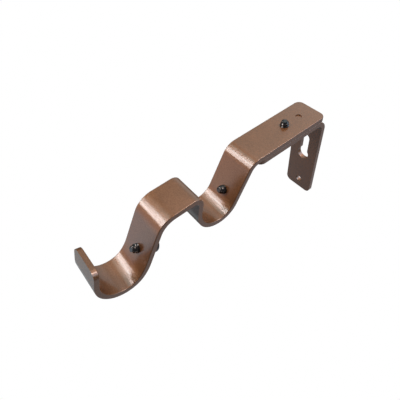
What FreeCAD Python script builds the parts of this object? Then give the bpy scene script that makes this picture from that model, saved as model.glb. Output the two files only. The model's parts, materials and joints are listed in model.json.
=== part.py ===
"""Double curtain pole bracket: a formed strip arm on an angled wall plate.

Millimetres. X runs along the poles, +Y points into the wall, +Z is up. The
origin lies on the wall face, midway between the two fixing screw centres.
"""
import FreeCAD, Part
import math
import os

Vector = FreeCAD.Vector

# Flat bar that both formed pieces are cut from
strip_width = 22.0
stock = 3.0
edge_round = 0.4
corner_radius = 4.0
length_tolerance = 1e-6

# Wall plate: fixing holes
fixing_spacing = 40.0
keyhole_neck_width = 6.5
keyhole_entry_diameter = 9.0
keyhole_drop = 14.0
lower_hole_diameter = 5.0
lower_margin = 7.5

# Wall plate: leg that carries the arm
leg_bend_clearance = 0.2
plate_bend_inner = 4.5
slot_side_clearance = 0.25
slot_wall_clearance = 0.1
slot_front_margin = 6.0

# Arm: places along the wall-to-room direction, from the arm's own wall end
top_height = 43.5
arm_gap = 0.1
arm_setback = 1.5
inward_travel = 1.2
rear_cradle_reach = 85.0
cradle_spacing = 63.5

# Arm: rear cradle
rear_cradle_radius = 12.0
rear_cradle_depth = 16.3
rear_slope_angle = 57.0
rear_wall_angle = 13.5
rear_bend_inner = 7.0

# Arm: raised part between the cradles
plateau_rear_inner = 2.5
plateau_front_inner = 11.5

# Arm: front cradle
front_cradle_radius = 12.7
front_cradle_depth = 19.8
front_slope_angle = 58.5
lead_in_radius = 27.0
lead_in_angle = 15.5
lip_angle = 19.0
lip_drop = 6.3

# Screws
thread_diameter = 5.5
thread_clearance = 0.05
clamp_screw_length = 9.5
pole_screw_length = 12.7
head_diameter = 9.2
head_height = 3.5
head_chamfer = 0.6
point_chamfer = 0.6
recess_span = 5.0
recess_floor_span = 1.6
recess_width = 1.2
recess_depth = 2.2

# Places of the screws and of the half-pierced pip that keeps the arm straight
clamp_from_end = 24.3
pip_from_end = 12.3
pip_recess_diameter = 4.0
pip_diameter = 4.2
pip_depth = 0.6
rear_screw_rise = 2.8
rear_screw_reach = 3.7
front_screw_rise = 2.0
front_screw_reach = 3.7

# Sizes that follow from the ones above
half_width = strip_width / 2
shank_diameter = thread_diameter - 2 * thread_clearance
slot_width = thread_diameter + 2 * slot_side_clearance
leg_top = top_height - stock - arm_gap
arm_end = -arm_setback
seat_height = fixing_spacing / 2
lower_hole_height = -fixing_spacing / 2
plate_bottom = lower_hole_height - lower_margin
rear_cradle = Vector(0, arm_end - rear_cradle_reach, top_height - rear_cradle_depth)
front_cradle = Vector(0, rear_cradle.y - cradle_spacing, top_height - front_cradle_depth)
clamp_place = arm_end - clamp_from_end
pip_place = arm_end - pip_from_end
slot_rear_end = pip_place + pip_diameter / 2 + inward_travel + slot_wall_clearance


def heading(angle):
    """Direction of a strip that leads away from the wall, sloping down by angle."""
    a = math.radians(angle)
    return Vector(0, -math.cos(a), -math.sin(a))


def face_normal(angle):
    """Outward direction of the show face of a strip with that heading."""
    a = math.radians(angle)
    return Vector(0, -math.sin(a), math.cos(a))


def bend_centre(point, angle, radius, level):
    """Centre of the bend that joins the run through point to the level run."""
    offset_point = point - face_normal(angle) * radius
    run = (level - radius - offset_point.z) / heading(angle).z
    return offset_point + heading(angle) * run


def side_edges(start, start_angle, bends, end, end_angle, depth):
    """Edges along one face of the strip, at depth below its show face.

    A bend is (centre, signed radius of the show face, first and last heading).
    The radius is positive on an outward bend and negative in a cradle.
    """
    here = start - face_normal(start_angle) * depth
    edges = []
    for centre, radius, first, last in bends:
        reach = radius - depth
        points = [centre + face_normal(a) * reach for a in (first, (first + last) / 2, last)]
        if here.distanceToPoint(points[0]) > edge_round:
            edges.append(Part.LineSegment(here, points[0]).toShape())
        edges.append(Part.Arc(*points).toShape())
        here = points[2]
    there = end - face_normal(end_angle) * depth
    edges.append(Part.LineSegment(here, there).toShape())
    return edges, there


def formed_strip(start, start_angle, bends, end, end_angle):
    """Bent strip with rounded corners, its show face edged by the round that blanking leaves."""
    upper, upper_end = side_edges(start, start_angle, bends, end, end_angle, 0)
    lower, lower_end = side_edges(start, start_angle, bends, end, end_angle, stock)
    lower_start = start - face_normal(start_angle) * stock
    ends = [
        Part.LineSegment(start, lower_start).toShape(),
        Part.LineSegment(upper_end, lower_end).toShape(),
    ]
    outline = Part.Wire(Part.__sortEdges__(upper + lower + ends))
    solid = Part.Face(outline).extrude(Vector(strip_width, 0, 0))
    solid.translate(Vector(-half_width, 0, 0))
    solid = solid.makeFillet(corner_radius, [e for e in solid.Edges if is_corner(e)])
    side_line = Part.Wire(Part.__sortEdges__(upper))
    return solid.makeFillet(edge_round, [e for e in solid.Edges if is_rim(e, side_line)])


def is_corner(edge):
    """Edge straight through the thickness, at a corner of the strip's end."""
    across = edge.BoundBox.XLength
    return across < edge_round and abs(edge.Length - stock) < length_tolerance


def is_rim(edge, side_line):
    """Edge around the show face, whose side view is side_line, but no bend line."""
    bend_line = abs(edge.BoundBox.XLength - strip_width) < length_tolerance
    middle = edge.valueAt((edge.FirstParameter + edge.LastParameter) / 2)
    in_side_view = Part.Vertex(0, middle.y, middle.z)
    return not bend_line and side_line.distToShape(in_side_view)[0] < length_tolerance


def slot_prism(width, first, last, low, high):
    """Round-ended cutter along the leg between two places, from low to high."""
    radius = width / 2
    back = last - radius
    front = first + radius
    points = [
        Vector(-radius, back, low),
        Vector(0, last, low),
        Vector(radius, back, low),
        Vector(radius, front, low),
        Vector(0, first, low),
        Vector(-radius, front, low),
    ]
    edges = [
        Part.Arc(*points[0:3]).toShape(),
        Part.LineSegment(points[2], points[3]).toShape(),
        Part.Arc(*points[3:6]).toShape(),
        Part.LineSegment(points[5], points[0]).toShape(),
    ]
    return Part.Face(Part.Wire(edges)).extrude(Vector(0, 0, high - low))


def wall_hole(diameter, height):
    """Cutter for a round hole through the wall plate at a height."""
    return Part.makeCylinder(
        diameter / 2, 3 * stock, Vector(0, stock, height), Vector(0, -1, 0))


def keyhole():
    """Round entry with a narrower neck above it, ending in a half round."""
    entry = wall_hole(keyhole_entry_diameter, seat_height - keyhole_drop)
    seat = wall_hole(keyhole_neck_width, seat_height)
    neck = Part.makeBox(
        keyhole_neck_width, 3 * stock, keyhole_drop,
        Vector(-keyhole_neck_width / 2, -2 * stock, seat_height - keyhole_drop))
    return entry.fuse([seat, neck]).removeSplitter()


def wall_plate():
    """Angle plate: keyhole and lower hole on the wall, slotted leg on top."""
    outer = plate_bend_inner + stock
    bend = (Vector(0, -outer, leg_top - outer), outer, -90, 0)
    start = Vector(0, 0, plate_bottom)
    leg_end = arm_bends()[0][0].y + leg_bend_clearance
    plate = formed_strip(start, -90, [bend], Vector(0, leg_end, leg_top), 0)
    slot = slot_prism(
        slot_width, leg_end + slot_front_margin, slot_rear_end, leg_top - 2 * stock, leg_top + stock)
    lower = wall_hole(lower_hole_diameter, lower_hole_height)
    return plate.cut([keyhole(), lower, slot])


def rear_tangent():
    """Point where the rear slope runs into the rear cradle."""
    return rear_cradle - face_normal(rear_slope_angle) * rear_cradle_radius


def lead_in_centre():
    """Centre of the gentler curve that leads into the front cradle."""
    extra = lead_in_radius - front_cradle_radius
    return front_cradle + face_normal(front_slope_angle - lead_in_angle) * extra


def front_tangent():
    """Point where the front slope runs into the lead-in curve."""
    return lead_in_centre() - face_normal(front_slope_angle) * lead_in_radius


def arm_bends():
    """Every bend of the arm from its wall end to its lip."""
    wall_angle = -90 - rear_wall_angle
    wall_foot = rear_cradle - face_normal(wall_angle) * rear_cradle_radius
    first = rear_bend_inner + stock
    second = plateau_rear_inner + stock
    third = plateau_front_inner + stock
    cup_angle = front_slope_angle - lead_in_angle
    return [
        (bend_centre(rear_tangent(), rear_slope_angle, first, top_height), first, 0, rear_slope_angle),
        (rear_cradle, -rear_cradle_radius, rear_slope_angle, wall_angle),
        (bend_centre(wall_foot, wall_angle, second, top_height), second, wall_angle, 0),
        (bend_centre(front_tangent(), front_slope_angle, third, top_height), third, 0, front_slope_angle),
        (lead_in_centre(), -lead_in_radius, front_slope_angle, cup_angle),
        (front_cradle, -front_cradle_radius, cup_angle, -90 - lip_angle),
    ]


def lip_tip():
    """Top inner edge of the front lip."""
    angle = -90 - lip_angle
    foot = front_cradle - face_normal(angle) * front_cradle_radius
    run = (top_height - lip_drop - foot.z) / heading(angle).z
    return foot + heading(angle) * run


def pole_screw_place(tangent, slope, rise):
    """Where a pole screw's axis crosses the show face of its slope."""
    return tangent - heading(slope) * rise


def tapped_hole(place, slope):
    """Cutter for a thread through the strip, square to its show face."""
    normal = face_normal(slope)
    start = place - normal * (2 * stock)
    return Part.makeCylinder(thread_diameter / 2, 3 * stock, start, normal)


def arm():
    """Formed arm with two cradles, three tapped holes and the guide pip."""
    start = Vector(0, arm_end, top_height)
    solid = formed_strip(start, 0, arm_bends(), lip_tip(), -90 - lip_angle)
    pip = Part.makeCylinder(
        pip_diameter / 2, pip_depth + stock / 2,
        Vector(0, pip_place, top_height - stock - pip_depth))
    recess = Part.makeCylinder(
        pip_recess_diameter / 2, stock,
        Vector(0, pip_place, top_height - pip_depth))
    holes = [
        tapped_hole(Vector(0, clamp_place, top_height), 0),
        tapped_hole(rear_screw_place, rear_slope_angle),
        tapped_hole(front_screw_place, front_slope_angle),
    ]
    return solid.fuse(pip).removeSplitter().cut([recess] + holes)


def cross_recess():
    """Cross-shaped socket in the outer face of a head, narrowing towards its floor."""
    corners = [
        Vector(-recess_span / 2, -recess_width / 2, -head_height),
        Vector(recess_span / 2, -recess_width / 2, -head_height),
        Vector(recess_floor_span / 2, -recess_width / 2, recess_depth - head_height),
        Vector(-recess_floor_span / 2, -recess_width / 2, recess_depth - head_height),
    ]
    side = Part.Face(Part.makePolygon(corners + corners[:1]))
    wing = side.extrude(Vector(0, recess_width, 0))
    other = wing.copy()
    other.rotate(Vector(0, 0, 0), Vector(0, 0, 1), 90)
    return wing.fuse(other)


def screw(length):
    """Self-tapping screw on +Z with its bearing face at zero and its thread plain."""
    radius = shank_diameter / 2
    rim = head_diameter / 2
    points = [
        Vector(0, 0, -head_height),
        Vector(rim - head_chamfer, 0, -head_height),
        Vector(rim, 0, head_chamfer - head_height),
        Vector(rim, 0, 0),
        Vector(radius, 0, 0),
        Vector(radius, 0, length - point_chamfer),
        Vector(radius - point_chamfer, 0, length),
        Vector(0, 0, length),
    ]
    section = Part.Face(Part.makePolygon(points + points[:1]))
    body = section.revolve(Vector(0, 0, 0), Vector(0, 0, 1), 360)
    return body.cut(cross_recess())


def placed_screw(length, place, slope, reach):
    """Screw fitted from behind, its point standing out of the show face by reach."""
    normal = face_normal(slope)
    solid = screw(length)
    turn = FreeCAD.Rotation(Vector(0, 0, 1), normal)
    solid.Placement = FreeCAD.Placement(place + normal * (reach - length), turn)
    return solid


rear_screw_place = pole_screw_place(rear_tangent(), rear_slope_angle, rear_screw_rise)
front_screw_place = pole_screw_place(front_tangent(), front_slope_angle, front_screw_rise)
clamp_grip = 2 * stock + arm_gap
nodes = {
    "wall_plate": wall_plate(),
    "arm": arm(),
    "clamp_screw": placed_screw(
        clamp_screw_length, Vector(0, clamp_place, top_height), 0,
        clamp_screw_length - clamp_grip),
    "rear_pole_screw": placed_screw(
        pole_screw_length, rear_screw_place, rear_slope_angle, rear_screw_reach),
    "front_pole_screw": placed_screw(
        pole_screw_length, front_screw_place, front_slope_angle, front_screw_reach),
}

os.makedirs("parts", exist_ok=True)
for name, shape in nodes.items():
    shape.exportStep(f"parts/{name}.step")
    print(name, len(shape.Solids), shape.isValid(), round(shape.Volume, 1))
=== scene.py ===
"""Looks of the double curtain pole bracket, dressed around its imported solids. Metres."""

import json
import math

import bmesh
import bpy
from mathutils import Matrix, Vector


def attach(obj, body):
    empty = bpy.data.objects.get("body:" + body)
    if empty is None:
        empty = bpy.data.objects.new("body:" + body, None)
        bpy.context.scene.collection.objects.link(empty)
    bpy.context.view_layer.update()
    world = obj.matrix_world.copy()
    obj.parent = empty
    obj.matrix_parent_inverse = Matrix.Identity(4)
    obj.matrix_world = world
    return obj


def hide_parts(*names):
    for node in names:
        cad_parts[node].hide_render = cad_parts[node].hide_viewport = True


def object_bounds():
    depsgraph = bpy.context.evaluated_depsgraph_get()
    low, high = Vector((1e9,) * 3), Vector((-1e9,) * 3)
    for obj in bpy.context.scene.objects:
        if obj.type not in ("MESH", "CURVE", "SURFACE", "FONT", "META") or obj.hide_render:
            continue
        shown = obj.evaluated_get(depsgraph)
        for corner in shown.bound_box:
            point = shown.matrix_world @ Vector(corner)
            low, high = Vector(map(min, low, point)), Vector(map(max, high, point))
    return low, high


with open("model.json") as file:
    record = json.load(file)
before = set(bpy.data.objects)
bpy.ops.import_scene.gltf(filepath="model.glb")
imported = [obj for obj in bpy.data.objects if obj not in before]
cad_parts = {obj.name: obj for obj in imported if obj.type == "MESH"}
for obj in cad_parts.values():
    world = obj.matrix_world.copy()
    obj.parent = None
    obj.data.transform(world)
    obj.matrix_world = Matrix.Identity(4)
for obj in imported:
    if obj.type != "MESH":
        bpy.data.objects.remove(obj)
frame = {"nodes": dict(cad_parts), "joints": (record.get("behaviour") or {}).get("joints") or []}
cad_low, cad_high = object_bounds()
centre = (cad_low + cad_high) / 2
MM = 0.001

# Screws: coarse thread, its crest and root as shares of the pitch
PITCH = 1.75 * MM
THREAD_DEPTH = 0.6 * MM
CREST_SHARE = 0.14
ROOT_SHARE = 0.26
FLANK_SHARE = (1 - CREST_SHARE - ROOT_SHARE) / 2
SCREW_SIDES = 72

# Screws: blunt point, over whose length the thread tapers
POINT_LENGTH = 2.6 * MM
POINT_DROP = 0.9 * MM
POINT_CURVE = 1.5

# Screws: pan head, its dome as (share of the flat's radius, share of the dome's rise)
HEAD_HEIGHT = 3.5 * MM
HEAD_RADIUS = 4.6 * MM
HEAD_ROUND = 1.1 * MM
HEAD_ROUND_STEPS = 6
HEAD_DOME = 0.25 * MM
DOME_PROFILE = [(0.35, 0.9), (0.75, 0.45)]
BEARING_CHAMFER = 0.12 * MM

# Screws: cross recess
RECESS_SPAN = 5.0 * MM
RECESS_FLOOR_SPAN = 1.6 * MM
RECESS_WIDTH = 1.2 * MM
RECESS_DEPTH = 2.2 * MM
CUTTER_MARGIN = 0.5 * MM

# Screws: mesh
MERGE_DISTANCE = 0.002 * MM
SHARP_ANGLE = math.radians(38)

# Noise values that the low and the high end of a range belong to
NOISE_LOW = 0.3
NOISE_HIGH = 0.7

# Copper paint: linear colours, clear coat, noises as (cells per metre, detail)
COPPER = (0.250, 0.106, 0.044)
COPPER_DARK = (0.168, 0.067, 0.024)
COPPER_DARK_AT = 0.36
COPPER_AT = 0.64
FLAKE_NOISE = (1900, 2)
CLOUD_NOISE = (90, 3)
CLOUD_SHARE = 0.25
PAINT_ROUGHNESS = (0.59, 0.63)
COAT_ROUGHNESS = 0.22
COAT_IOR = 1.62
PEEL_NOISE = (700, 2)
PEEL_HEIGHT = 0.04 * MM
PEEL_STRENGTH = 0.12

# Blackened steel: linear colours, grain as (cells per metre, detail)
BLACK = (0.012, 0.012, 0.013)
BLACK_DARK = (0.0072, 0.0072, 0.0078)
BLACK_DARK_AT = 0.35
BLACK_AT = 0.65
STEEL_NOISE = (1800, 3)
STEEL_ROUGHNESS = (0.20, 0.28)
STEEL_METALLIC = 0.1
STEEL_SPECULAR = 0.85
STEEL_TINT = (1.0, 0.88, 0.84)
STEEL_GRAIN_HEIGHT = 0.02 * MM
STEEL_GRAIN_STRENGTH = 0.15

# Camera at the photograph's place
CAMERA_PLACE = Vector((111.8, -159.6, 185.7)) * MM
CAMERA_AIM = Vector((-0.53279, 0.34324, -0.77352))
CAMERA_RIGHT = Vector((0.61768, 0.78253, -0.07821))
CAMERA_LENS = 32.4
CAMERA_SENSOR = 36.0
CAMERA_SHIFT = -0.016
CAMERA_NEAR = 0.01

# Stage: pale floor and dome, and how far they lie below the bracket
STAGE_COLOUR = (1, 1, 1)
STAGE_RADIUS = 6.0
STAGE_RINGS = 24
FLOOR_DROP = 1.0

# Studio light: even light, and soft glows by azimuth, elevation and spread in degrees
EVEN_LIGHT = (0.12, 0.124, 0.128)
GLOWS = [
    (-127, -14, 20, (0.59, 0.82, 1.04)),
    (-105, -5, 24, (1.25, 0.93, 0.40)),
    (-122, 8, 16, (0.77, 0.66, 0.79)),
    (-146, -43, 18, (0.32, 0.42, 0.46)),
    (-110, -45, 25, (0.0, 0.07, 0.16)),
    (-60, -60, 45, (0.13, 0.17, 0.18)),
    (36, -50, 40, (0.36, 0.37, 0.42)),
    (51, 30, 35, (1.65, 2.50, 3.30)),
    (110, 15, 35, (0.86, 0.99, 1.04)),
    (132, 40, 25, (0.23, 0.40, 0.44)),
    (120, 70, 35, (1.24, 1.24, 1.18)),
]

# Softboxes: azimuth, elevation and roll in degrees, width and height as seen from one
# metre, and colour. The key boxes make a slanted, slightly bowed strip of light.
LIGHT_DISTANCE = 3.0
SOFTBOXES = {
    "key_head": (-146, 58, -47, 0.14, 0.12, (27.0, 24.0, 23.1)),
    "key_upper": (-137, 48, -54, 0.17, 0.17, (13.5, 14.5, 14.3)),
    "key_middle": (-137, 41.5, -52, 0.17, 0.12, (11.4, 10.3, 10.5)),
    "key_lower": (-131, 34.5, -56, 0.22, 0.12, (11.0, 10.5, 10.4)),
    "key_foot": (-135, 27.8, -54, 0.15, 0.12, (19.4, 17.4, 16.6)),
    "key_side": (-145, 29.5, -48, 0.15, 0.12, (11.0, 17.0, 17.0)),
    "key_spill": (-168, 59, -30, 0.25, 0.14, (1.8, 2.9, 2.9)),
    "near_panel": (50, 60, 0, 0.30, 0.26, (26.0, 21.5, 19.0)),
}


def node_tree(material):
    """Empties a material's tree and gives it a shader and an output."""
    material.use_nodes = True
    tree = material.node_tree
    tree.nodes.clear()
    shader = tree.nodes.new("ShaderNodeBsdfPrincipled")
    output = tree.nodes.new("ShaderNodeOutputMaterial")
    tree.links.new(shader.outputs["BSDF"], output.inputs["Surface"])
    return tree, shader


def noise(tree, cells, detail):
    """Noise in the piece's own space, in cells per metre."""
    place = tree.nodes.new("ShaderNodeTexCoord")
    texture = tree.nodes.new("ShaderNodeTexNoise")
    texture.inputs["Scale"].default_value = cells
    texture.inputs["Detail"].default_value = detail
    tree.links.new(place.outputs["Object"], texture.inputs["Vector"])
    return texture.outputs["Fac"]


def ramp(tree, value, stops):
    """Colour between two stops, each a (value, colour) pair."""
    node = tree.nodes.new("ShaderNodeValToRGB")
    for element, (place, colour) in zip(node.color_ramp.elements, stops):
        element.position = place
        element.color = (*colour, 1)
    tree.links.new(value, node.inputs["Fac"])
    return node.outputs["Color"]


def spread(tree, value, limits):
    """Noise value mapped to the range between two limits."""
    node = tree.nodes.new("ShaderNodeMapRange")
    node.inputs["From Min"].default_value = NOISE_LOW
    node.inputs["From Max"].default_value = NOISE_HIGH
    node.inputs["To Min"].default_value = limits[0]
    node.inputs["To Max"].default_value = limits[1]
    tree.links.new(value, node.inputs["Value"])
    return node.outputs["Result"]


def bump(tree, value, height, strength):
    """Bump of a given height and strength from a value."""
    node = tree.nodes.new("ShaderNodeBump")
    node.inputs["Distance"].default_value = height
    node.inputs["Strength"].default_value = strength
    tree.links.new(value, node.inputs["Height"])
    return node.outputs["Normal"]


def blend(tree, first, second, second_share):
    """Weighted sum of two values."""
    weighted = tree.nodes.new("ShaderNodeMath")
    weighted.operation = "MULTIPLY"
    weighted.inputs[1].default_value = second_share
    tree.links.new(second, weighted.inputs[0])
    total = tree.nodes.new("ShaderNodeMath")
    total.operation = "MULTIPLY_ADD"
    total.inputs[1].default_value = 1 - second_share
    tree.links.new(first, total.inputs[0])
    tree.links.new(weighted.outputs["Value"], total.inputs[2])
    return total.outputs["Value"]


def copper_paint(material):
    """Satin metallic copper-brown paint under a thin clear coat."""
    tree, shader = node_tree(material)
    flake = noise(tree, *FLAKE_NOISE)
    cloud = noise(tree, *CLOUD_NOISE)
    peel = noise(tree, *PEEL_NOISE)
    stops = [(COPPER_DARK_AT, COPPER_DARK), (COPPER_AT, COPPER)]
    colour = ramp(tree, blend(tree, flake, cloud, CLOUD_SHARE), stops)
    roughness = spread(tree, cloud, PAINT_ROUGHNESS)
    normal = bump(tree, peel, PEEL_HEIGHT, PEEL_STRENGTH)
    tree.links.new(colour, shader.inputs["Base Color"])
    tree.links.new(roughness, shader.inputs["Roughness"])
    tree.links.new(normal, shader.inputs["Normal"])
    shader.inputs["Metallic"].default_value = 1.0
    shader.inputs["Coat Weight"].default_value = 1.0
    shader.inputs["Coat Roughness"].default_value = COAT_ROUGHNESS
    shader.inputs["Coat IOR"].default_value = COAT_IOR


def black_steel(material):
    """Blackened steel, oiled, a little glossy."""
    tree, shader = node_tree(material)
    grain = noise(tree, *STEEL_NOISE)
    colour = ramp(tree, grain, [(BLACK_DARK_AT, BLACK_DARK), (BLACK_AT, BLACK)])
    roughness = spread(tree, grain, STEEL_ROUGHNESS)
    normal = bump(tree, grain, STEEL_GRAIN_HEIGHT, STEEL_GRAIN_STRENGTH)
    tree.links.new(colour, shader.inputs["Base Color"])
    tree.links.new(roughness, shader.inputs["Roughness"])
    tree.links.new(normal, shader.inputs["Normal"])
    shader.inputs["Metallic"].default_value = STEEL_METALLIC
    shader.inputs["Specular IOR Level"].default_value = STEEL_SPECULAR
    shader.inputs["Specular Tint"].default_value = (*STEEL_TINT, 1)


MAKERS = {
    "copper_paint_arm": copper_paint,
    "copper_paint_plate": copper_paint,
    "black_steel": black_steel,
}


def make_materials():
    """One material for each slot of the record."""
    made = {}
    for name, maker in MAKERS.items():
        made[name] = bpy.data.materials.new(name + "_finish")
        maker(made[name])
    return made


def dress_cad_node(name, material):
    """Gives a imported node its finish."""
    piece = frame["nodes"][name]
    piece.data.materials.clear()
    piece.data.materials.append(material)


def thread_radius(crest, angle, height, length):
    """Radius of a right-hand thread that tapers at its blunt point."""
    turn = (height / PITCH - angle / math.tau) % 1.0
    if turn < ROOT_SHARE:
        depth = 1.0
    elif turn < ROOT_SHARE + FLANK_SHARE:
        depth = 1 - (turn - ROOT_SHARE) / FLANK_SHARE
    elif turn < ROOT_SHARE + FLANK_SHARE + CREST_SHARE:
        depth = 0.0
    else:
        depth = (turn - ROOT_SHARE - FLANK_SHARE - CREST_SHARE) / FLANK_SHARE
    near_end = max(0, 1 - (length - height) / POINT_LENGTH)
    return crest - THREAD_DEPTH * depth - POINT_DROP * near_end ** POINT_CURVE


def thread_rings(crest, length):
    """Rings of (radius, height) pairs that follow the thread from head to point."""
    crest_start = ROOT_SHARE + FLANK_SHARE
    shares = [0, ROOT_SHARE, crest_start, crest_start + CREST_SHARE]
    turns = math.ceil(length / PITCH) + 1
    rings = []
    for turn in range(-1, turns):
        for share in shares:
            ring = []
            for side in range(SCREW_SIDES):
                angle = math.tau * side / SCREW_SIDES
                height = PITCH * (turn + share + side / SCREW_SIDES)
                height = min(max(height, 0), length)
                ring.append((thread_radius(crest, angle, height, length), height))
            rings.append(ring)
    return rings


def head_rings():
    """Rings of the pan head from its slightly domed outer face to its bearing face."""
    flat = HEAD_RADIUS - HEAD_ROUND
    rim = -HEAD_HEIGHT + HEAD_DOME
    pairs = [(flat * reach, rim - HEAD_DOME * rise) for reach, rise in DOME_PROFILE]
    for step in range(HEAD_ROUND_STEPS + 1):
        angle = math.radians(90 * step / HEAD_ROUND_STEPS)
        radius = flat + HEAD_ROUND * math.sin(angle)
        pairs.append((radius, rim + HEAD_ROUND * (1 - math.cos(angle))))
    pairs.append((HEAD_RADIUS, -BEARING_CHAMFER))
    pairs.append((HEAD_RADIUS - BEARING_CHAMFER, 0))
    return [[pair] * SCREW_SIDES for pair in pairs]


def finished_mesh(name, shape):
    """Mesh from an edited shape, which is then freed."""
    mesh = bpy.data.meshes.new(name)
    shape.to_mesh(mesh)
    shape.free()
    return mesh


def ring_mesh(name, rings, start_height, end_height):
    """Closed mesh through rings, with a pole at each end."""
    shape = bmesh.new()
    made = []
    for ring in rings:
        verts = []
        for side, (radius, height) in enumerate(ring):
            angle = math.tau * side / SCREW_SIDES
            verts.append(shape.verts.new(
                (radius * math.cos(angle), radius * math.sin(angle), height)))
        made.append(verts)
    for lower, upper in zip(made, made[1:]):
        for a in range(SCREW_SIDES):
            b = (a + 1) % SCREW_SIDES
            shape.faces.new((lower[a], lower[b], upper[b], upper[a]))
    start = shape.verts.new((0, 0, start_height))
    end = shape.verts.new((0, 0, end_height))
    for a in range(SCREW_SIDES):
        b = (a + 1) % SCREW_SIDES
        shape.faces.new((start, made[0][b], made[0][a]))
        shape.faces.new((end, made[-1][a], made[-1][b]))
    bmesh.ops.remove_doubles(shape, verts=shape.verts, dist=MERGE_DISTANCE)
    bmesh.ops.recalc_face_normals(shape, faces=shape.faces)
    return finished_mesh(name, shape)


def recess_mesh(name):
    """Cross with tapered wings that cuts the driver's recess."""
    shape = bmesh.new()
    top = -HEAD_HEIGHT - CUTTER_MARGIN
    floor = -HEAD_HEIGHT + RECESS_DEPTH
    taper = (RECESS_SPAN - RECESS_FLOOR_SPAN) / RECESS_DEPTH
    top_span = RECESS_SPAN + CUTTER_MARGIN * taper
    for turned in (False, True):
        corners = []
        for height, span in ((top, top_span), (floor, RECESS_FLOOR_SPAN)):
            for x, y in ((-1, -1), (1, -1), (1, 1), (-1, 1)):
                place = (x * span / 2, y * RECESS_WIDTH / 2)
                if turned:
                    place = (-place[1], place[0])
                corners.append(shape.verts.new((*place, height)))
        low, high = corners[:4], corners[4:]
        shape.faces.new(low)
        shape.faces.new(high)
        for a in range(4):
            b = (a + 1) % 4
            shape.faces.new((low[a], low[b], high[b], high[a]))
    bmesh.ops.recalc_face_normals(shape, faces=shape.faces)
    return finished_mesh(name, shape)


def linked(name, mesh):
    """Object for a mesh, in the scene."""
    piece = bpy.data.objects.new(name, mesh)
    bpy.context.scene.collection.objects.link(piece)
    return piece


def cut_recess(piece):
    """Cuts the cross recess into a screw's head and keeps the result as plain mesh."""
    cutter = linked(piece.name + "_cutter", recess_mesh(piece.name + "_cutter"))
    modifier = piece.modifiers.new("recess", "BOOLEAN")
    modifier.operation = "DIFFERENCE"
    modifier.object = cutter
    modifier.solver = "EXACT"
    modifier.use_self = True
    depsgraph = bpy.context.evaluated_depsgraph_get()
    mesh = bpy.data.meshes.new_from_object(piece.evaluated_get(depsgraph))
    piece.modifiers.clear()
    piece.data = mesh
    bpy.data.objects.remove(cutter)


def measured_screw(node, joint_axis):
    """Place of a packed screw, headed to its point, with its crest radius and length."""
    points = [v.co.copy() for v in frame["nodes"][node].data.vertices]
    axis = Vector(joint_axis).normalized()
    side = Vector((1, 0, 0))
    other = axis.cross(side)
    spans = [[p.dot(way) for p in points] for way in (side, other, axis)]
    middles = [(min(span) + max(span)) / 2 for span in spans]
    widths = [
        math.hypot(a - middles[0], b - middles[1]) for a, b in zip(spans[0], spans[1])]
    head_end = spans[2][widths.index(max(widths))]
    if head_end > middles[2]:
        axis.negate()
        spans[2] = [-height for height in spans[2]]
        other.negate()
        middles[1] = -middles[1]
    length = max(spans[2]) - min(spans[2]) - HEAD_HEIGHT
    point_end = max(spans[2])
    crest = max(w for w, h in zip(widths, spans[2]) if h > point_end - length / 2)
    bearing = side * middles[0] + other * middles[1] + axis * (point_end - length)
    turn = Matrix((side, axis.cross(side), axis)).transposed().to_4x4()
    return Matrix.Translation(bearing) @ turn, crest, length


def build_screw(node, joint_axis, material):
    """Threaded screw in the place of a packed one."""
    place, crest, length = measured_screw(node, joint_axis)
    rings = head_rings() + thread_rings(crest, length)
    name = node + "_threaded"
    piece = linked(name, ring_mesh(name, rings, -HEAD_HEIGHT, length))
    cut_recess(piece)
    piece.matrix_world = place
    piece.data.materials.clear()
    piece.data.materials.append(material)
    piece.data.shade_smooth()
    piece.data.set_sharp_from_angle(angle=SHARP_ANGLE)
    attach(piece, node)
    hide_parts(node)


def stage_plain(name, shape):
    """Stage piece that shines evenly to the camera and lights nothing."""
    mesh = finished_mesh(name, shape)
    mesh.transform(Matrix.Translation((0, centre.y, cad_low.z - FLOOR_DROP)))
    piece = linked(name, mesh)
    material = bpy.data.materials.new(name + "_finish")
    material.use_nodes = True
    tree = material.node_tree
    tree.nodes.clear()
    shine = tree.nodes.new("ShaderNodeEmission")
    shine.inputs["Color"].default_value = (*STAGE_COLOUR, 1)
    output = tree.nodes.new("ShaderNodeOutputMaterial")
    tree.links.new(shine.outputs["Emission"], output.inputs["Surface"])
    mesh.materials.append(material)
    piece.visible_diffuse = False
    piece.visible_glossy = False
    piece.visible_shadow = False


def make_stage():
    """Pale floor below the bracket and a pale dome around it."""
    floor = bmesh.new()
    bmesh.ops.create_circle(
        floor, cap_ends=True, segments=4 * STAGE_RINGS, radius=STAGE_RADIUS)
    stage_plain("floor", floor)
    dome = bmesh.new()
    bmesh.ops.create_uvsphere(
        dome, u_segments=2 * STAGE_RINGS, v_segments=STAGE_RINGS, radius=STAGE_RADIUS)
    stage_plain("backdrop", dome)


def direction(azimuth, elevation):
    """Unit vector at an azimuth and an elevation in degrees."""
    a, e = math.radians(azimuth), math.radians(elevation)
    return Vector((math.cos(a) * math.cos(e), math.sin(a) * math.cos(e), math.sin(e)))


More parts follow.
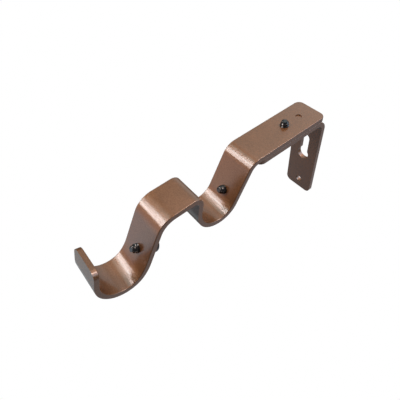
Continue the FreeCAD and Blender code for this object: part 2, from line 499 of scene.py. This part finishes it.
def add_glow(tree, place, light, azimuth, elevation, spread_angle, colour):
    """Adds a round soft glow in a direction to the studio's light."""
    toward = tree.nodes.new("ShaderNodeVectorMath")
    toward.operation = "DOT_PRODUCT"
    toward.inputs[1].default_value = direction(azimuth, elevation)
    tree.links.new(place, toward.inputs[0])
    fade = tree.nodes.new("ShaderNodeMapRange")
    fade.interpolation_type = "SMOOTHSTEP"
    fade.inputs["From Min"].default_value = math.cos(math.radians(spread_angle))
    tree.links.new(toward.outputs["Value"], fade.inputs["Value"])
    scaled = tree.nodes.new("ShaderNodeVectorMath")
    scaled.operation = "MULTIPLY_ADD"
    scaled.inputs[1].default_value = colour
    tree.links.new(fade.outputs["Result"], scaled.inputs[0])
    if light:
        tree.links.new(light, scaled.inputs[2])
    else:
        scaled.inputs[2].default_value = EVEN_LIGHT
    return scaled.outputs["Vector"]


def make_world():
    """Dim even studio light with soft glows."""
    world = bpy.data.worlds.new("studio")
    bpy.context.scene.world = world
    world.use_nodes = True
    tree = world.node_tree
    tree.nodes.clear()
    place = tree.nodes.new("ShaderNodeTexCoord").outputs["Generated"]
    light = None
    for glow in GLOWS:
        light = add_glow(tree, place, light, *glow)
    background = tree.nodes.new("ShaderNodeBackground")
    output = tree.nodes.new("ShaderNodeOutputWorld")
    tree.links.new(light, background.inputs["Color"])
    tree.links.new(background.outputs["Background"], output.inputs["Surface"])


def softbox(name, azimuth, elevation, roll, width, height, colour):
    """Rectangular light off in a direction, facing the bracket."""
    data = bpy.data.lights.new(name, "AREA")
    data.shape = "RECTANGLE"
    data.size = width * LIGHT_DISTANCE
    data.size_y = height * LIGHT_DISTANCE
    data.color = [part / max(colour) for part in colour]
    data.energy = max(colour) * math.pi * data.size * data.size_y
    light = bpy.data.objects.new(name, data)
    bpy.context.scene.collection.objects.link(light)
    way = direction(azimuth, elevation)
    facing = way.to_track_quat("Z", "Y").to_matrix().to_4x4()
    spin = Matrix.Rotation(math.radians(roll), 4, "Z")
    light.matrix_world = Matrix.Translation(centre + way * LIGHT_DISTANCE) @ facing @ spin
    light.visible_camera = False


def make_lights():
    """Every softbox of the studio."""
    for name, box in SOFTBOXES.items():
        softbox(name, *box)


def make_camera():
    """Camera at the photograph's angle and distance."""
    data = bpy.data.cameras.new("camera")
    data.lens = CAMERA_LENS
    data.sensor_width = CAMERA_SENSOR
    data.shift_x = CAMERA_SHIFT
    data.clip_start = CAMERA_NEAR
    camera = bpy.data.objects.new("camera", data)
    bpy.context.scene.collection.objects.link(camera)
    back = -CAMERA_AIM.normalized()
    up = back.cross(CAMERA_RIGHT).normalized()
    right = up.cross(back)
    turn = Matrix((right, up, back)).transposed().to_4x4()
    camera.matrix_world = Matrix.Translation(CAMERA_PLACE) @ turn
    bpy.context.scene.camera = camera


materials = make_materials()
dress_cad_node("arm", materials["copper_paint_arm"])
dress_cad_node("wall_plate", materials["copper_paint_plate"])
for joint in frame["joints"]:
    if joint["child"].endswith("screw"):
        build_screw(joint["child"], joint["axis"], materials["black_steel"])
make_stage()
make_world()
make_lights()
make_camera()
bpy.context.scene.view_settings.view_transform = "Standard"
